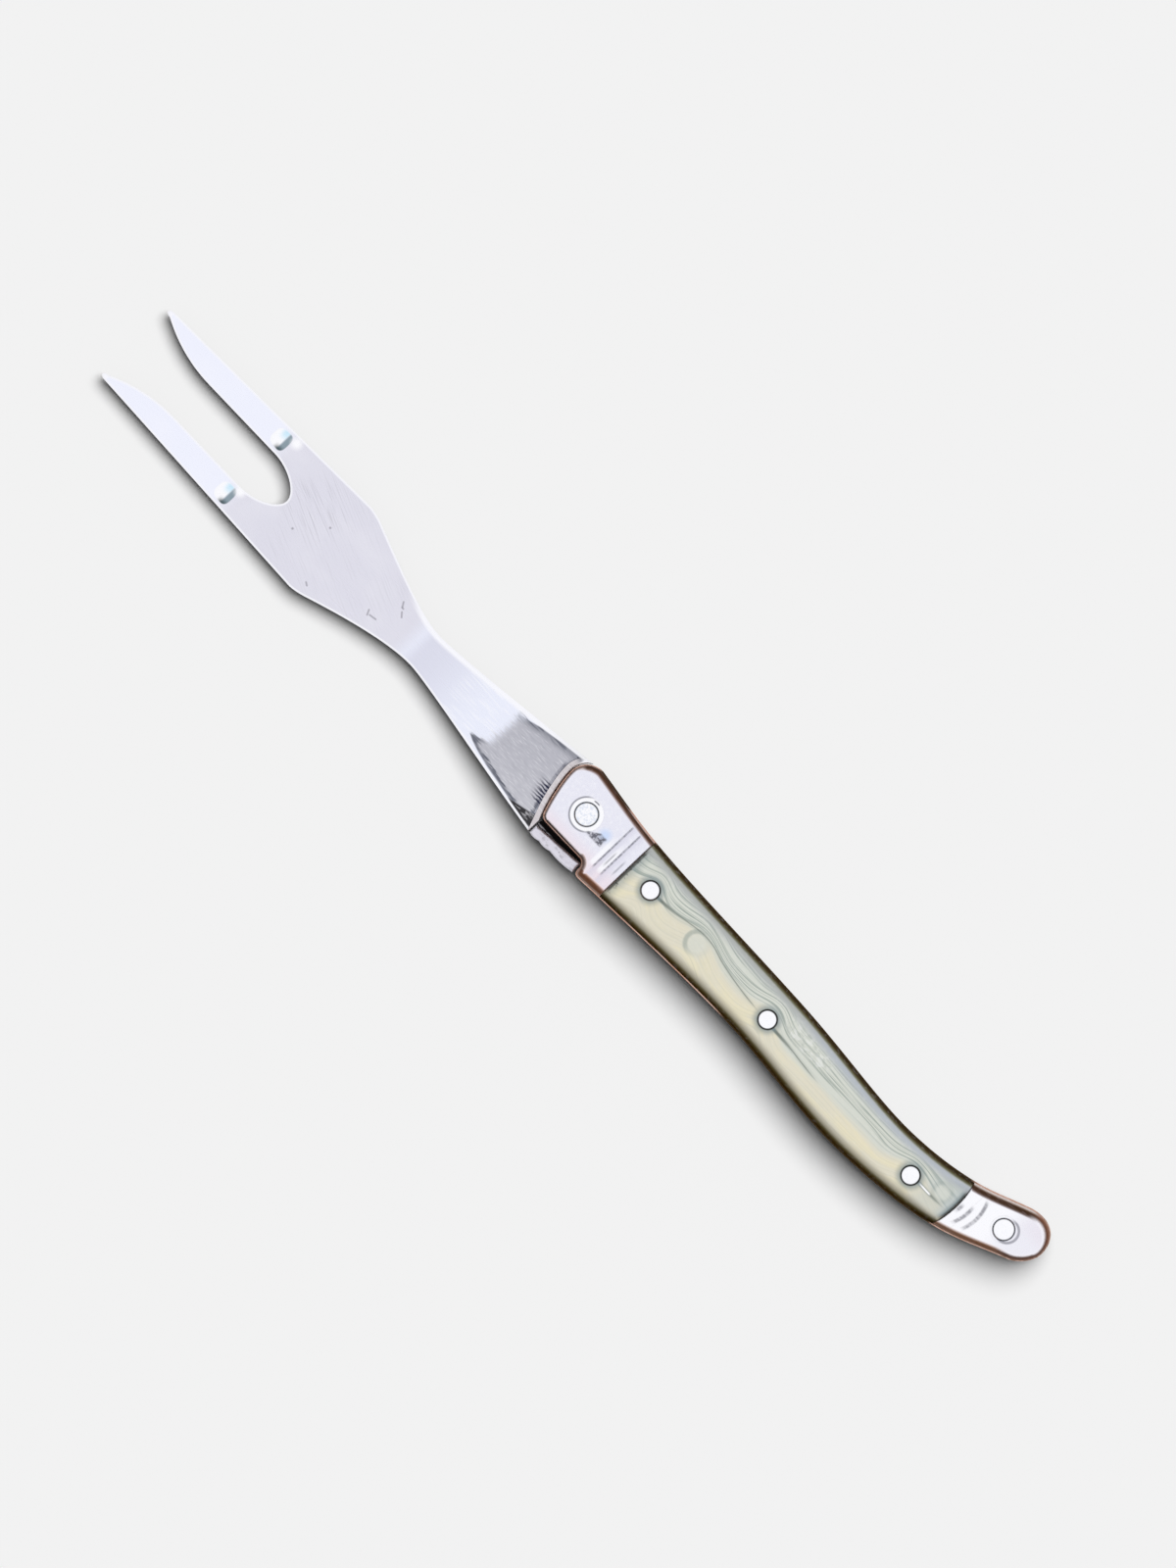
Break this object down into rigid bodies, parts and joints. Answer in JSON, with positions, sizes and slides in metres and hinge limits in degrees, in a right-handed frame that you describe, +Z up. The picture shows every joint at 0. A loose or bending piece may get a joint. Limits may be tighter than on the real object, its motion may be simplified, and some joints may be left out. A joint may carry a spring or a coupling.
{
  "type": "cheese fork",
  "caption": "Fixed two-tined cheese fork: flat steel head on a slim neck and flared shank, with a curved riveted handle of marbled scales between steel bolsters.",
  "frame": {"origin": "middle of the fork's length and width, on the surface that its handle lies on", "axes": "+X along the fork to the tine tips, +Y to the spine side of the handle, +Z up from the face that it lies on"},
  "size_m": [0.2106, 0.0186, 0.0096],
  "materials": {
    "blade_steel": "satin ground stainless steel, coarser grinding marks on the shank",
    "bolster_steel": "polished steel faces with warm copper-brown rounded rims",
    "spring_steel": "dark unpolished steel",
    "cast_steel": "rough light grey cast surface",
    "liner_copper": "copper-coloured sheet, seen at its edges",
    "marbled_resin": "glossy marbled resin, grey-green to cream with fine flow lines and dark rounded edges",
    "pin_steel": "bright polished steel, flush with the faces"
  },
  "bodies": {
    "root": {"fork_blade": "blade_steel", "back_spring": "spring_steel", "spring_head": "cast_steel", "upper_liner": "liner_copper", "lower_liner": "liner_copper", "upper_front_bolster": "bolster_steel", "lower_front_bolster": "bolster_steel", "upper_rear_bolster": "bolster_steel", "lower_rear_bolster": "bolster_steel", "upper_scale": "marbled_resin", "lower_scale": "marbled_resin", "front_bolster_pin": "pin_steel", "rear_bolster_pin": "pin_steel", "front_rivet": "pin_steel", "middle_rivet": "pin_steel", "rear_rivet": "pin_steel"}
  },
  "joints": []
}
